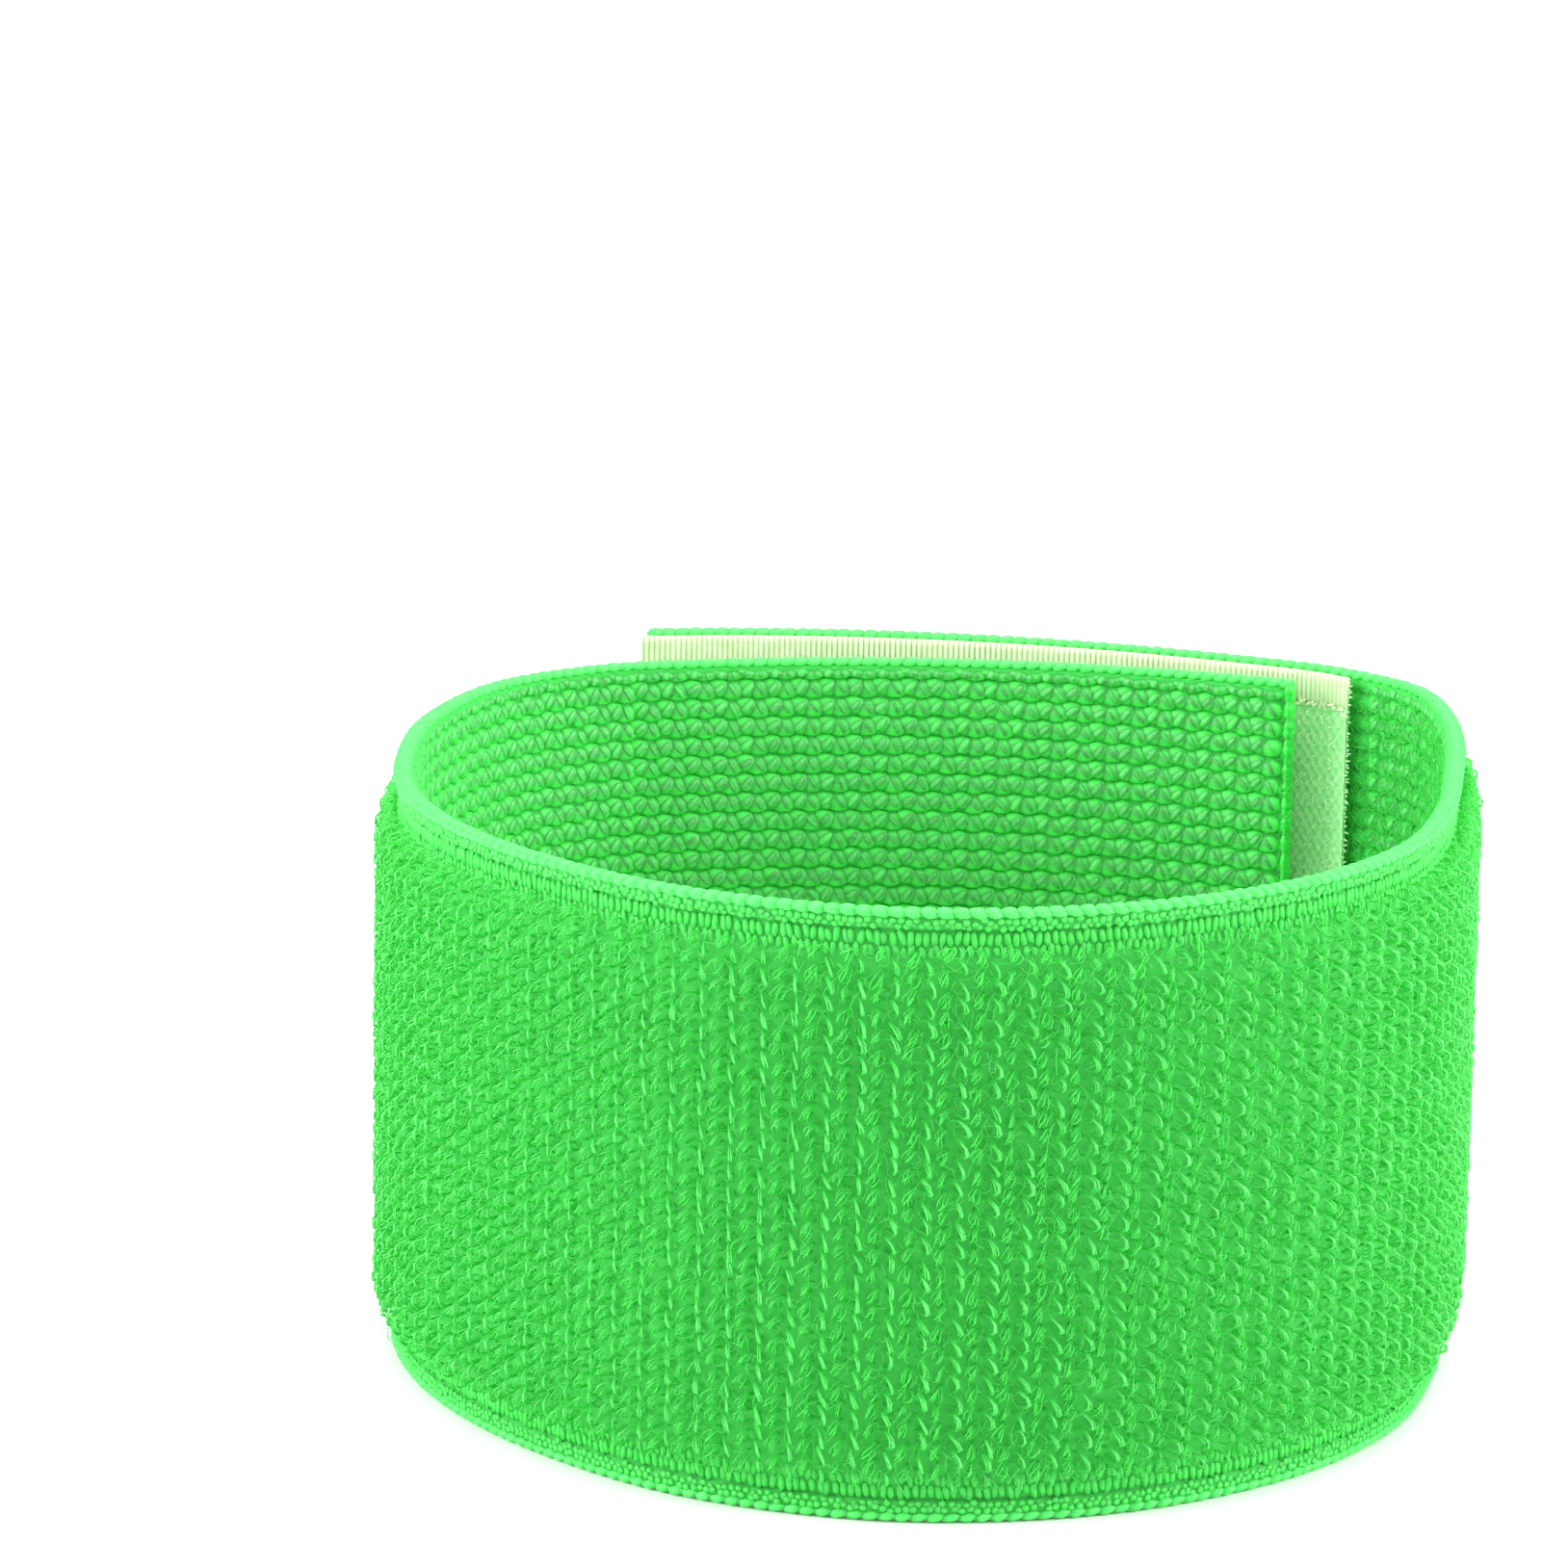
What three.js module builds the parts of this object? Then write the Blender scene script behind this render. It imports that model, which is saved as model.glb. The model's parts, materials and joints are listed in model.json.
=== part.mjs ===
// Elastic sports wristband: one wide strap of loop-faced elastic, closed on itself by a patch of
// hook tape. Millimetres, +Z up, the band standing on its lower edge, the closure at +Y.
//
// The strap runs once round the arm. Its inner end lies at the back, it goes left, round the
// front, round the right bend, and its last stretch, the flap, lies outside the inner end.
// The flap peels open, so it is four short stretches, each on a hinge line across the strap.
import * as THREE from "three";

// ---- Driving dimensions ------------------------------------------------------------------
const STRAP_WIDTH = 50; // edge to edge
const CORD_RADIUS = 0.8; // knitted edge cord along each edge
const PILE_MARGIN = 4.2; // plain stitched strip between the edge and the loop pile
const LAYER_GAP = 0.2; // clearance between the layers of the laminate

const RIB_DEPTH = 0.7; // ribbed knit that touches the skin
const CORE_DEPTH = 0.4; // sheet that stands for the covered elastic threads
const PILE_DEPTH = 2.2; // loop pile where it stands free
const PRESSED_PILE = 1.4; // loop pile pressed down under the hook tape

const FILM_DEPTH = 0.15; // bond between strap and hook tape
const TAPE_DEPTH = 0.45; // woven base of the hook tape
const HOOK_DEPTH = 0.6; // the standing hooks
const TAPE_MARGIN = 0.9; // hook tape stays this far inside the strap's edges
const HOOK_MARGIN = 3.6; // woven edge of the hook tape, without hooks
const FASTENER_GAP = 0.3; // between hook tips and the pile they close on

const BACK_RADIUS = 82; // the back of the band is only gently bowed
const BACK_CENTRE = new THREE.Vector2(2, -37.6);
const INNER_END_X = 35; // where the strap's inner end stops, behind the flap
const FLAP_ROOT_X = 41.5; // where the hook tape ends and the flap starts to peel
const FLAP_END_X = -24.3; // free end of the flap
const INNER_TURN_X = -27; // where the inner layer leaves the bowed back

const FLAP_STRETCHES = 4; // hinged stretches of the flap
const HINGE_CLEARANCE = 0.3; // each side of a hinge line, in the flat layers
const PILE_CLEARANCE = 0.8; // each side of a hinge line, in the pile, which folds shut
const SEAL_LENGTH = 2.2; // heat-sealed end of the strap
const SEAL_DEPTH = 1.4;

const ROOT_LIFT = 0.5; // the flap was closed a little askew: higher at its root
const END_LIFT = 2.1; // and higher still at its free end

const STATION_STEP = 4.5; // length of one facet along the strap

// ---- The strap's path, seen from above -----------------------------------------------------
const RIB_INNER = -(CORE_DEPTH / 2 + LAYER_GAP + RIB_DEPTH);
const RIB_OUTER = RIB_INNER + RIB_DEPTH;
const PILE_INNER = CORE_DEPTH / 2 + LAYER_GAP;
const FILM_OUTER = RIB_INNER - LAYER_GAP;
const TAPE_OUTER = FILM_OUTER - FILM_DEPTH - LAYER_GAP;
const HOOK_OUTER = TAPE_OUTER - TAPE_DEPTH - LAYER_GAP;
const HOOK_INNER = HOOK_OUTER - HOOK_DEPTH;
const LAYER_PITCH = PILE_INNER + PRESSED_PILE + FASTENER_GAP - HOOK_INNER;

// A point of the bowed back at x, on the inner layer (outset 0) or on the flap outside it.
function onBack(x, outset) {
  const radius = BACK_RADIUS + outset;
  const y = BACK_CENTRE.y + Math.sqrt(radius ** 2 - (x - BACK_CENTRE.x) ** 2);
  return new THREE.Vector3(x, y, 0);
}

const innerBack = [INNER_END_X, 24, 12, 0, -11, -20, INNER_TURN_X].map((x) => onBack(x, 0));
const aroundTheArm = [
  [-36.5, 30.5],
  [-42, 15],
  [-43.1, 0],
  [-42, -14],
  [-37.5, -27.5],
  [-29, -40.2],
  [-16.5, -51],
  [0, -56],
  [17, -53],
  [31.3, -43.3],
  [40.6, -29.8],
  [44.9, -14.5],
  [46.7, 0],
  [47.8, 13],
  [47.6, 25],
  [45.6, 34],
].map(([x, y]) => new THREE.Vector3(x, y, 0));
const outerBack = [39, 30, 19, 7, -5, -16, FLAP_END_X].map((x) => onBack(x, LAYER_PITCH));

const path = new THREE.CatmullRomCurve3([...innerBack, ...aroundTheArm, ...outerBack]);
path.arcLengthDivisions = 2000;
const PATH_LENGTH = path.getLength();

// Distance along the strap of the last point (or the first) whose x is the given one.
function lengthAtX(x, fromEnd) {
  const steps = 4000;
  for (let i = 1; i <= steps; i++) {
    const t = fromEnd ? 1 - i / steps : i / steps;
    const reached = path.getPointAt(t).x;
    if (fromEnd ? reached >= x : reached <= x) return t * PATH_LENGTH;
  }
  throw new Error("the strap never reaches that x");
}

const ROOT_AT = lengthAtX(FLAP_ROOT_X, true);
const BEND_AT = ROOT_AT - 28; // where the right bend starts and the flap begins to ride up
const STRETCH = (PATH_LENGTH - ROOT_AT) / FLAP_STRETCHES;
const PRESS_SPARE = 6; // the pile stays pressed this far past the flap's end
const COVERED_UNTIL = lengthAtX(FLAP_END_X, false) + PRESS_SPARE;
const PRESS_RAMP = 8; // and rises to its free height over this length

// Height by which the strap rides up, askew, at a distance along it.
function liftAt(along) {
  if (along <= BEND_AT) return 0;
  if (along <= ROOT_AT) {
    return THREE.MathUtils.smoothstep(along, BEND_AT, ROOT_AT) * ROOT_LIFT;
  }
  return THREE.MathUtils.mapLinear(along, ROOT_AT, PATH_LENGTH, ROOT_LIFT, END_LIFT);
}

function pileDepthAt(along) {
  const risen = THREE.MathUtils.smoothstep(along, COVERED_UNTIL, COVERED_UNTIL + PRESS_RAMP);
  return THREE.MathUtils.lerp(PRESSED_PILE, PILE_DEPTH, risen);
}

// ---- Sweeping a section along the strap ----------------------------------------------------
// Stations on one common grid, so that neighbouring layers have the same facets.
function stations(from, to) {
  const list = [from];
  const first = Math.floor(from / STATION_STEP) + 1;
  for (let k = first; k * STATION_STEP < to; k++) {
    const along = k * STATION_STEP;
    if (along - from > 0.5 && to - along > 0.5) list.push(along);
  }
  list.push(to);
  return list;
}

// section(along) gives the corners [outset, height] in order, seen along the strap.
function sweep(from, to, section) {
  const rings = stations(from, to).map((along) => {
    const t = THREE.MathUtils.clamp(along / PATH_LENGTH, 0, 1);
    const middle = path.getPointAt(t);
    const heading = path.getTangentAt(t);
    const outward = new THREE.Vector3(heading.y, -heading.x, 0).normalize();
    return section(along).map(([outset, height]) =>
      middle.clone().addScaledVector(outward, outset).setZ(height + liftAt(along)),
    );
  });
  const corners = rings[0].length;
  const positions = rings.flat().flatMap((p) => [p.x, p.y, p.z]);
  const faces = [];
  for (let i = 0; i + 1 < rings.length; i++) {
    for (let j = 0; j < corners; j++) {
      const k = (j + 1) % corners;
      const [a, b] = [i * corners + j, i * corners + k];
      const [c, d] = [a + corners, b + corners];
      faces.push(a, c, b, b, c, d);
    }
  }
  const last = (rings.length - 1) * corners;
  for (let j = 1; j + 1 < corners; j++) {
    faces.push(0, j, j + 1);
    faces.push(last, last + j + 1, last + j);
  }
  const geometry = new THREE.BufferGeometry();
  geometry.setAttribute("position", new THREE.Float32BufferAttribute(positions, 3));
  geometry.setIndex(faces);
  geometry.computeVertexNormals();
  return geometry;
}

// A flat layer between two outsets, the given margin inside the strap's edges.
function layer(from, to, inner, outer, margin) {
  const [low, high] = [margin, STRAP_WIDTH - margin];
  return sweep(from, to, (along) => {
    const outside = typeof outer === "function" ? outer(along) : outer;
    return [
      [inner, low],
      [outside, low],
      [outside, high],
      [inner, high],
    ];
  });
}

// A six-sided cord with a flat underside, so that the band can stand on it.
function edgeCord(from, to, height) {
  return sweep(from, to, () =>
    Array.from({ length: 6 }, (_, i) => {
      const angle = (i * Math.PI) / 3;
      const rise = (CORD_RADIUS / Math.cos(Math.PI / 6)) * Math.sin(angle);
      return [CORD_RADIUS * Math.cos(angle), height + rise];
    }),
  );
}

// ---- Materials -----------------------------------------------------------------------------
const finish = (color, roughness) => new THREE.MeshStandardMaterial({ color, roughness, metalness: 0 });
const pileGreen = () => finish(0x46cf57, 1.0);
const ribGreen = () => finish(0x52dc66, 0.9);
const edgeGreen = () => finish(0x86f59a, 0.8);
const sealGreen = () => finish(0x3fbf50, 0.6);
const elasticWhite = () => finish(0xd9dfd2, 0.7);
const filmClear = () => finish(0xe6ead8, 0.4);
const tapeCream = () => finish(0xf2f0d8, 0.7);
const hookCream = () => finish(0xdfe4c8, 0.5);

// ---- Pieces --------------------------------------------------------------------------------
const band = new THREE.Group();

function addPiece(name, geometry, material) {
  const mesh = new THREE.Mesh(geometry, material);
  mesh.name = name;
  band.add(mesh);
}

const LAYER_MARGIN = 2 * CORD_RADIUS + LAYER_GAP;

// The strap's own layers over one stretch, each stopping short of the hinge lines at its ends.
function addStrap(suffix, from, to, flatStart, flatEnd, pileStart, pileEnd) {
  const [start, end] = [from + flatStart, to - flatEnd];
  const pileOuter = (along) => PILE_INNER + pileDepthAt(along);
  const corePosition = CORE_DEPTH / 2;
  addPiece(`ribbed_face_${suffix}`, layer(start, end, RIB_INNER, RIB_OUTER, LAYER_MARGIN), ribGreen());
  addPiece(
    `elastic_core_${suffix}`,
    layer(start, end, -corePosition, corePosition, LAYER_MARGIN),
    elasticWhite(),
  );
  addPiece(
    `loop_pile_${suffix}`,
    layer(from + pileStart, to - pileEnd, PILE_INNER, pileOuter, PILE_MARGIN),
    pileGreen(),
  );
  const cordRise = CORD_RADIUS;
  addPiece(`lower_edge_cord_${suffix}`, edgeCord(start, end, cordRise), edgeGreen());
  addPiece(`upper_edge_cord_${suffix}`, edgeCord(start, end, STRAP_WIDTH - cordRise), edgeGreen());
}

// The hook tape over one stretch of the flap, on its inner side.
function addFastener(suffix, from, to) {
  const [start, end] = [from + HINGE_CLEARANCE, to - HINGE_CLEARANCE];
  const film = layer(start, end, FILM_OUTER - FILM_DEPTH, FILM_OUTER, TAPE_MARGIN + 1);
  const tape = layer(start, end, TAPE_OUTER - TAPE_DEPTH, TAPE_OUTER, TAPE_MARGIN);
  const hooks = layer(start, end, HOOK_INNER, HOOK_OUTER, HOOK_MARGIN);
  addPiece(`bond_film_${suffix}`, film, filmClear());
  addPiece(`hook_tape_${suffix}`, tape, tapeCream());
  addPiece(`hook_field_${suffix}`, hooks, hookCream());
}

// A heat-sealed end: the layers crushed into one firm strip across the strap.
function addSeal(name, from, to) {
  const seal = layer(from, to, -SEAL_DEPTH / 2, SEAL_DEPTH / 2, CORD_RADIUS);
  addPiece(name, seal, sealGreen());
}

const SEAL_STOP = SEAL_LENGTH + LAYER_GAP;
addSeal("inner_end_seal", 0, SEAL_LENGTH);
addStrap("ring", 0, ROOT_AT, SEAL_STOP, HINGE_CLEARANCE, SEAL_STOP, PILE_CLEARANCE);

for (let i = 0; i < FLAP_STRETCHES; i++) {
  const from = ROOT_AT + i * STRETCH;
  const to = from + STRETCH;
  const atEnd = i === FLAP_STRETCHES - 1;
  const flatEnd = atEnd ? SEAL_STOP : HINGE_CLEARANCE;
  const pileEnd = atEnd ? SEAL_STOP : PILE_CLEARANCE;
  addStrap(`flap_${i + 1}`, from, to, HINGE_CLEARANCE, flatEnd, PILE_CLEARANCE, pileEnd);
  addFastener(`${i + 1}`, from, to);
}
addSeal("outer_end_seal", PATH_LENGTH - SEAL_LENGTH, PATH_LENGTH);

// ---- The part's own frame: the middle of its footprint, on the surface it stands on ---------
const box = new THREE.Box3().setFromObject(band);
const centre = box.getCenter(new THREE.Vector3());
band.position.set(-centre.x, -centre.y, -box.min.z);

export default band;
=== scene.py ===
# %% [markdown]
# # An elastic sports band that closes with hook tape
#
# The band is one wide strap of elastic. Its outer face is a pile of standing loops, its inner
# face is knitted in ribs, and a patch of hook tape under its last stretch grips the loops.
# The frame below is the band's mechanical model: plain solids in the right places, split into
# the bodies that move. Everything soft is made again here, thread by thread, on those solids.

# %% The frame
import json
import math

import bpy
import numpy as np
from mathutils import Matrix, Vector


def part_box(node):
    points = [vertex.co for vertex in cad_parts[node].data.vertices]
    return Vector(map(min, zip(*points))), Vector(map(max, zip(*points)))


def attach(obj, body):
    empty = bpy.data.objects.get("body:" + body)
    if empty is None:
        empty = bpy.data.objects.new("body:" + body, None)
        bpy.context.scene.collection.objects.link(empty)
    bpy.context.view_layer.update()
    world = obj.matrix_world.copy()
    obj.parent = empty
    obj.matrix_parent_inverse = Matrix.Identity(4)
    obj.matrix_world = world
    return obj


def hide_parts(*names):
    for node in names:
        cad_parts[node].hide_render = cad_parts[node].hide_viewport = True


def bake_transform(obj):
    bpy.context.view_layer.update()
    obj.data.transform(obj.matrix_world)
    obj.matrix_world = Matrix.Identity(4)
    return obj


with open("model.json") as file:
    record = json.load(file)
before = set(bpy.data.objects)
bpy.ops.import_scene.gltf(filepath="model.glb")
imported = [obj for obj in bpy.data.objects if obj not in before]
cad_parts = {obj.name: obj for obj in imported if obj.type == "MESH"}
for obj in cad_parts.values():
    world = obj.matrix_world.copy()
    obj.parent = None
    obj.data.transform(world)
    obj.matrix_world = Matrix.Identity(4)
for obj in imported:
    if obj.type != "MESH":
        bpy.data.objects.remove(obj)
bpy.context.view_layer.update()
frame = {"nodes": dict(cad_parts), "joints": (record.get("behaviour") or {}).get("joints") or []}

MM = 0.001
BODY_STEP = 1.4 * MM         # rings of a swept piece, along the strap
chance = np.random.default_rng(11)

# %% [markdown]
# ## The camera
#
# A long lens from about 0.6 m, looking down on the band at some 14 degrees. A real product
# camera is seldom dead level, so it is rolled by a little under one degree. The three angles
# turn a camera that starts by looking along +Y. Aiming with a Track To constraint would also
# work, but plain angles say exactly how far off the middle of the picture the band sits.

# %% Camera
CAMERA_RANGE = 600 * MM      # from the camera to the middle of the band
CAMERA_ELEVATION = math.radians(14.3)
CAMERA_PITCH = math.radians(12.2)
CAMERA_YAW = math.radians(1.05)
CAMERA_ROLL = math.radians(0.92)
CAMERA_LENS = 159.2          # millimetres, on a sensor 36 wide
BAND_MIDDLE = Vector((-2.4 * MM, 3.3 * MM, 25 * MM))

camera_data = bpy.data.cameras.new("camera")
camera_data.lens = CAMERA_LENS
camera_data.sensor_width = 36
camera_data.clip_start = 0.01
camera = bpy.data.objects.new("camera", camera_data)
bpy.context.scene.collection.objects.link(camera)
back = Vector((0, -math.cos(CAMERA_ELEVATION), math.sin(CAMERA_ELEVATION)))
camera.location = BAND_MIDDLE + back * CAMERA_RANGE
aim = Matrix.Rotation(CAMERA_YAW, 4, "Z") @ Matrix.Rotation(math.pi / 2 - CAMERA_PITCH, 4, "X")
camera.rotation_euler = (aim @ Matrix.Rotation(CAMERA_ROLL, 4, "Z")).to_euler()
bpy.context.scene.camera = camera
print("camera at", [round(x, 3) for x in camera.location])

# %% [markdown]
# ## The strap's midline
#
# Every thread follows the strap, so the first thing needed is a line along its middle. The
# frame has it: each elastic core is a thin sheet in the middle of the strap, made in short
# facets. The lower corners of a facet come in pairs, an inner and an outer one, and the point
# between them is on the midline. A cubic spline through those points takes the facets out.

# %% Reading the midline from the frame
CORE_MARGIN = 1.8 * MM       # the core stops this far inside the strap's edges
CORE_STOP = 2.4 * MM         # and this far short of its cut ends
FLAPS = 4
FLAP_BODIES = [f"flap_{i + 1}" for i in range(FLAPS)]


def core_points(node):
    """Midline points of one core sheet: x, y and the height of the strap's lower edge."""
    corners = np.array([v.co for v in frame["nodes"][node].data.vertices])
    lower = corners[corners[:, 2] < corners[:, 2].mean()]
    lower = np.unique(np.round(lower, 6), axis=0)
    apart = np.linalg.norm(lower[:, None, :2] - lower[None, :, :2], axis=2)
    np.fill_diagonal(apart, 1)
    middles = (lower + lower[apart.argmin(axis=1)]) / 2
    return np.unique(np.round(middles, 6), axis=0)


def in_order(points, start):
    """The points sorted into a walk that begins beside start."""
    left, walk, here = list(points), [], np.array(start)
    while left:
        nearest = min(range(len(left)), key=lambda i: np.linalg.norm(left[i][:2] - here[:2]))
        here = left.pop(nearest)
        walk.append(here)
    return walk


seal_low, seal_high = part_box("inner_end_seal")
stations = in_order(core_points("elastic_core_ring"), (seal_low + seal_high) / 2)
for body in FLAP_BODIES:
    stations += in_order(core_points(f"elastic_core_{body}"), stations[-1])
stations = np.array(stations)
stations[:, 2] -= CORE_MARGIN


def longer(points, by):
    """The same line, carried straight on past both ends."""
    first = points[0] + (points[0] - points[1]) / np.linalg.norm(points[0] - points[1]) * by
    last = points[-1] + (points[-1] - points[-2]) / np.linalg.norm(points[-1] - points[-2]) * by
    return np.vstack([first, points, last])


stations = longer(stations, CORE_STOP)
print("midline:", len(stations), "stations")

# %% A smooth line through the stations
TABLE_STEP = 0.1 * MM


def spline_through(points, step):
    """A natural cubic spline through the points, sampled evenly along its length."""
    knots = np.concatenate([[0], np.cumsum(np.linalg.norm(np.diff(points, axis=0), axis=1))])
    gap = np.diff(knots)
    count = len(points)
    matrix = np.zeros((count, count))
    right = np.zeros_like(points)
    matrix[0, 0] = matrix[-1, -1] = 1
    for i in range(1, count - 1):
        matrix[i, i - 1:i + 2] = gap[i - 1], 2 * (gap[i - 1] + gap[i]), gap[i]
        right[i] = 6 * ((points[i + 1] - points[i]) / gap[i]
                        - (points[i] - points[i - 1]) / gap[i - 1])
    bend = np.linalg.solve(matrix, right)
    at = np.linspace(0, knots[-1], int(knots[-1] / step))
    k = np.clip(np.searchsorted(knots, at) - 1, 0, count - 2)
    h = gap[k][:, None]
    before = ((knots[k + 1] - at) / gap[k])[:, None]
    after = 1 - before
    line = before * points[k] + after * points[k + 1] + (
        (before ** 3 - before) * bend[k] + (after ** 3 - after) * bend[k + 1]) * h ** 2 / 6
    return line


line = spline_through(stations, TABLE_STEP)
along = np.concatenate([[0], np.cumsum(np.linalg.norm(np.diff(line[:, :2], axis=0), axis=1))])
STRAP_LENGTH = along[-1]
heading = np.gradient(line[:, :2], along, axis=0)
heading /= np.linalg.norm(heading, axis=1)[:, None]
print(f"strap: {STRAP_LENGTH / MM:.1f} mm from cut end to cut end")


def place(s, outset, height):
    """Points in the frame, from distance along the strap, distance outwards and height."""
    s, outset, height = np.broadcast_arrays(s, outset, height)
    over = s - np.clip(s, 0, STRAP_LENGTH)
    x, y, lift = (np.interp(s, along, line[:, i]) for i in range(3))
    hx, hy = (np.interp(s, along, heading[:, i]) for i in range(2))
    return np.stack([x + hy * outset + hx * over, y - hx * outset + hy * over,
                     lift + height], axis=-1)


def along_at(point):
    """Distance along the flap, the strap's last third, of the point nearest to this one."""
    flap = along > STRAP_LENGTH * 2 / 3
    away = np.linalg.norm(line[:, :2] - np.array(point)[:2], axis=1)
    return along[np.where(flap, away, 1).argmin()]


hinge_at = [along_at(j["pos_m"]) for j in frame["joints"]]
STRETCH = hinge_at[1] - hinge_at[0]
print("hinge lines at", [round(s / MM, 1) for s in hinge_at], "mm along the strap")

# %% [markdown]
# ## Where the strap is cut into pieces
#
# Most of the band stands still: that is the loop of strap up to a little before the first hinge line.
# From there on the flap peels. A strap has no hinges, it bends all along, so each piece of flap is
# centred on a hinge line, and its ends lie halfway to the hinge lines beside it, where it meets the
# next piece; the last one runs to the strap's cut end.

# %% Spans
SPANS = [("ring", 0.0, hinge_at[0] - STRETCH / 2)]
for i, hinge in enumerate(hinge_at):
    last = i == FLAPS - 1
    SPANS.append((f"flap_{i + 1}", hinge - STRETCH / 2, STRAP_LENGTH if last else hinge + STRETCH / 2))
BODIES = ["ring"] + FLAP_BODIES


def fasten(piece, span, replaced=()):
    """Attaches a piece on the ring to the ring's body, or bakes a flap piece's placing into its mesh,
    and hides the CAD nodes it replaces.
    """
    if span == 0:
        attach(piece, "ring")
    else:
        hinge = hinge_at[span - 1]
        ends = place(np.array([hinge - STRETCH / 2, hinge + STRETCH / 2]), 0, 0.025)
        BODIES[span - 1]
        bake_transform(piece)
    if replaced:
        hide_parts(*replaced)


for name, start, end in SPANS:
    print(f"{name}: {start / MM:.1f} to {end / MM:.1f} mm")

# %% [markdown]
# ## Meshes from arrays
#
# The band has hundreds of thousands of small faces, too many for bmesh calls one by one.
# NumPy works out all the points of a piece at once, and foreach_set copies them into a mesh.
# Two shapes cover nearly everything: a grid, for sheets and cords, and a bundle of thin tubes,
# for yarn and hooks. Each mesh gets a UV map that lays its faces out side by side.

# %% Mesh helpers
LIGHT_ATTRIBUTE = "painted_light"            # the attribute of painted light: 0 is painted shade in the depth of a relief, 1 painted light at its top


def new_piece(name, shape, material, end_faces=0):
    """An object from a shape: its points, four-sided faces, UVs, and how much painted light each point
    gets.

    The first and last end_faces faces are cut ends, and are shaded flat."""
    points, faces, uvs, painted_light = shape
    mesh = bpy.data.meshes.new(name)
    mesh.vertices.add(len(points))
    mesh.vertices.foreach_set("co", points.astype(np.float32).ravel())
    mesh.loops.add(faces.size)
    mesh.loops.foreach_set("vertex_index", faces.astype(np.int32).ravel())
    mesh.polygons.add(len(faces))
    mesh.polygons.foreach_set("loop_start", np.arange(0, faces.size, 4, dtype=np.int32))
    smooth = np.ones(len(faces), bool)
    smooth[:end_faces] = smooth[len(faces) - end_faces:] = False
    mesh.polygons.foreach_set("use_smooth", smooth)
    mesh.uv_layers.new(name="OFBake")
    mesh.uv_layers["OFBake"].data.foreach_set("uv", uvs[faces.ravel()].astype(np.float32).ravel())
    mesh.attributes.new(LIGHT_ATTRIBUTE, "FLOAT", "POINT")
    mesh.attributes[LIGHT_ATTRIBUTE].data.foreach_set("value", painted_light.astype(np.float32).ravel())
    mesh.update(calc_edges=True)
    mesh.validate()
    mesh.materials.append(material)
    piece = bpy.data.objects.new(name, mesh)
    bpy.context.scene.collection.objects.link(piece)
    print(f"{name}: {len(faces)} faces")
    return piece


def grid_faces(rows, columns, wrap=False):
    """Faces of a grid of points, row after row; wrap joins the last column to the first."""
    i = np.arange(rows - 1)[:, None]
    j = np.arange(columns if wrap else columns - 1)[None, :]
    k = (j + 1) % columns
    corners = [i * columns + j, i * columns + k, (i + 1) * columns + k, (i + 1) * columns + j]
    return np.stack([np.broadcast_to(c, (rows - 1, j.shape[1])) for c in corners], -1).reshape(-1, 4)


def grid_uvs(rows, columns):
    """UVs that spread a grid over the unit square."""
    u, v = np.meshgrid(np.linspace(0, 1, rows), np.linspace(0, 1, columns), indexing="ij")
    return np.stack([u, v], -1).reshape(-1, 2)


def tubes(paths, side, radius, sides, painted_light):
    """Tubes round many paths (n, k, 3). side (n, 3) is a direction across each path."""
    count, steps, _ = paths.shape
    forward = np.gradient(paths, axis=1)
    forward /= np.linalg.norm(forward, axis=2)[..., None] + 1e-12
    across = np.broadcast_to(side[:, None, :], paths.shape)
    up = np.cross(forward, across)
    up /= np.linalg.norm(up, axis=2)[..., None] + 1e-12
    across = np.cross(up, forward)
    turn = np.arange(sides) * 2 * math.pi / sides
    radius = np.broadcast_to(radius, (count, steps))[..., None, None]
    ring = (across[:, :, None, :] * np.cos(turn)[:, None] + up[:, :, None, :] * np.sin(turn)[:, None])
    points = (paths[:, :, None, :] + ring * radius).reshape(-1, 3)
    one = grid_faces(steps, sides, wrap=True)
    faces = (one[None] + (np.arange(count) * steps * sides)[:, None, None]).reshape(-1, 4)
    painted_light = np.broadcast_to(painted_light, (count, steps)).repeat(sides, axis=1)
    return points, faces, tube_uvs(count, steps, sides), painted_light.ravel()


def tube_uvs(count, steps, sides):
    """Each tube gets a small cell of the unit square."""
    cells = math.ceil(math.sqrt(count))
    index = np.arange(count)
    u = np.linspace(0.05, 0.95, steps)[None, :, None]
    v = np.linspace(0.05, 0.95, sides)[None, None, :]
    u, v = np.broadcast_arrays(u, v)
    u = ((index % cells)[:, None, None] + u) / cells
    v = ((index // cells)[:, None, None] + v) / cells
    return np.stack([u, v], -1).reshape(-1, 2)


def joined(parts):
    """Several shapes as one, their UVs side by side."""
    points, faces, uvs, painted_light, base = [], [], [], [], 0
    for i, (p, f, uv, r) in enumerate(parts):
        points.append(p)
        faces.append(f + base)
        uvs.append((uv + [i, 0]) / [len(parts), 1])
        painted_light.append(r)
        base += len(p)
    return np.vstack(points), np.vstack(faces), np.vstack(uvs), np.concatenate(painted_light)


def evenly(start, end, step):
    """Values from start to end, about one step apart."""
    return np.linspace(start, end, max(4, round((end - start) / step)))


def in_parts(start, end, count):
    """The ends of so many equal stretches. A long piece is made in parts, so that no mesh is
    too big to hand over."""
    cuts = np.linspace(start, end, count + 1)
    return enumerate(zip(cuts[:-1], cuts[1:]), start=1)


def unit(vectors):
    """The same directions, each one long."""
    return vectors / (np.linalg.norm(vectors, axis=-1)[..., None] + 1e-12)


# %% [markdown]
# ## Shader expressions
#
# A material is easier to read as sums than as a list of wires. This small class wraps a node's
# output socket, and + - * / on it add Math nodes. Colours can't go through a Math node, which
# would turn them grey, so they are blended with Mix.

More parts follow.
